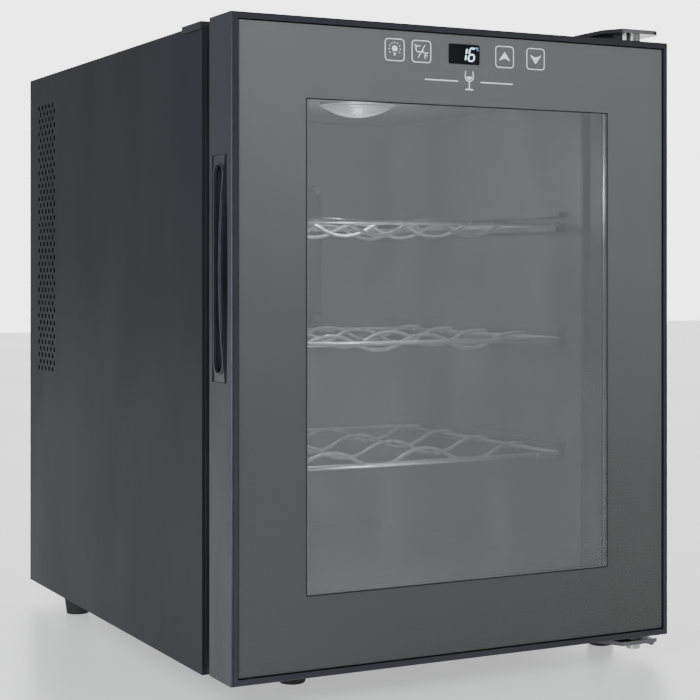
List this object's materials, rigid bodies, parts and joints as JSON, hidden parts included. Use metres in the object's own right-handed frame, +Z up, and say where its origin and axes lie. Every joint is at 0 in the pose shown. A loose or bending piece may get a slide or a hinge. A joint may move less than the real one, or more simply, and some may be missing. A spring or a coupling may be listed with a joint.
{
  "type": "wine cooler",
  "caption": "Counter-top thermoelectric wine cooler: dark steel cabinet, tinted glass door in a mitred frame, side handle recess, touch keys and chromed wire bottle shelves.",
  "frame": {"origin": "on the floor, under the middle of the whole object", "axes": "+Z up, -Y out of the door's front, +X to the hinge side"},
  "size_m": [0.345, 0.442, 0.457],
  "materials": {
    "side_paint": "satin dark grey",
    "black_paint": "satin black",
    "trim_plastic": "satin dark grey",
    "black_plastic": "fine texture",
    "liner_plastic": "smooth dark grey",
    "foam": "foamed in place",
    "foot_rubber": "matte",
    "gasket_rubber": "matte",
    "steel": "zinc plated",
    "hinge_chrome": "polished",
    "bush_plastic": "acetal",
    "door_frame_metal": "satin blue-grey anodised look",
    "tinted_glass": "tinted, printed border",
    "clear_glass": "clear",
    "spacer_metal": "black",
    "handle_plastic": "satin blue-grey",
    "display_black": "black window with lit digits",
    "pad_foam": "conductive foam",
    "circuit_board": "solder mask",
    "lamp_diffuser": "translucent white",
    "white_plastic": "moulded",
    "sink_aluminium": "extruded",
    "module_ceramic": "lapped",
    "shelf_chrome": "polished wire"
  },
  "bodies": {
    "cabinet": {"left_side_panel": "side_paint", "right_side_panel": "side_paint", "top_panel": "black_paint", "base_panel": "black_paint", "back_cover": "black_paint", "top_front_trim": "trim_plastic", "front_frame": "black_plastic", "foot_sockets": "black_plastic", "inner_fan_cover": "black_plastic", "inner_fan_frame": "black_plastic", "rear_fan_frame": "black_plastic", "mains_inlet": "black_plastic", "power_board_standoffs": "black_plastic", "inner_liner": "liner_plastic", "insulation_foam": "foam", "rear_feet": "foot_rubber", "hinge_backing_plates": "steel", "back_cover_screws": "steel", "rear_foot_screws": "steel", "top_hinge_screws": "steel", "bottom_hinge_screws": "steel", "inner_cover_screws": "steel", "top_hinge_pin": "steel", "bottom_hinge_pin": "steel", "top_hinge_bracket": "hinge_chrome", "bottom_hinge_bracket": "hinge_chrome", "lamp_board": "circuit_board", "power_board": "circuit_board", "lamp_lens": "lamp_diffuser", "lamp_housing": "white_plastic", "temperature_sensor": "white_plastic", "cold_sink": "sink_aluminium", "hot_sink": "sink_aluminium", "cold_spacer_block": "sink_aluminium", "thermoelectric_module": "module_ceramic"},
    "door": {"door_frame_left": "door_frame_metal", "door_frame_right": "door_frame_metal", "door_frame_bottom": "door_frame_metal", "door_frame_top": "door_frame_metal", "door_core": "black_plastic", "door_corner_keys": "steel", "door_frame_screws": "steel", "door_gasket": "gasket_rubber", "front_glass": "tinted_glass", "inner_glass": "clear_glass", "glass_spacer": "spacer_metal", "handle_cup": "handle_plastic", "handle_plate": "handle_plastic", "display_module": "display_black", "touch_pads": "pad_foam", "control_board": "circuit_board", "upper_hinge_bush": "bush_plastic", "lower_hinge_bush": "bush_plastic"},
    "inner_fan_wheel": {"inner_fan_rotor": "black_plastic"},
    "rear_fan_wheel": {"rear_fan_rotor": "black_plastic"},
    "left_levelling_foot": {"front_left_foot": "foot_rubber"},
    "right_levelling_foot": {"front_right_foot": "foot_rubber"},
    "shelf_1": {"wire_shelf_1": "shelf_chrome"},
    "shelf_2": {"wire_shelf_2": "shelf_chrome"},
    "shelf_3": {"wire_shelf_3": "shelf_chrome"}
  },
  "joints": [
    {"name": "door_hinge", "type": "hinge", "parent": "cabinet", "child": "door", "pos_m": [0.1535, -0.204, 0.018], "axis": [0, 0, 1], "range_deg": [0, 120]},
    {"name": "inner_fan_spin", "type": "hinge", "parent": "cabinet", "child": "inner_fan_wheel", "pos_m": [0, 0.106, 0.296], "axis": [0, 1, 0], "continuous": true},
    {"name": "rear_fan_spin", "type": "hinge", "parent": "cabinet", "child": "rear_fan_wheel", "pos_m": [0, 0.185, 0.296], "axis": [0, 1, 0], "continuous": true},
    {"name": "shelf_1_slide", "type": "slide", "parent": "cabinet", "child": "shelf_1", "axis": [0, -1, 0], "range_m": [0, 0.028]},
    {"name": "shelf_2_slide", "type": "slide", "parent": "cabinet", "child": "shelf_2", "axis": [0, -1, 0], "range_m": [0, 0.028]},
    {"name": "shelf_3_slide", "type": "slide", "parent": "cabinet", "child": "shelf_3", "axis": [0, -1, 0], "range_m": [0, 0.028]},
    {"name": "left_foot_screw", "type": "slide", "parent": "cabinet", "child": "left_levelling_foot", "axis": [0, 0, -1], "range_m": [0, 0.008]},
    {"name": "right_foot_screw", "type": "slide", "parent": "cabinet", "child": "right_levelling_foot", "axis": [0, 0, -1], "range_m": [0, 0.008]}
  ]
}
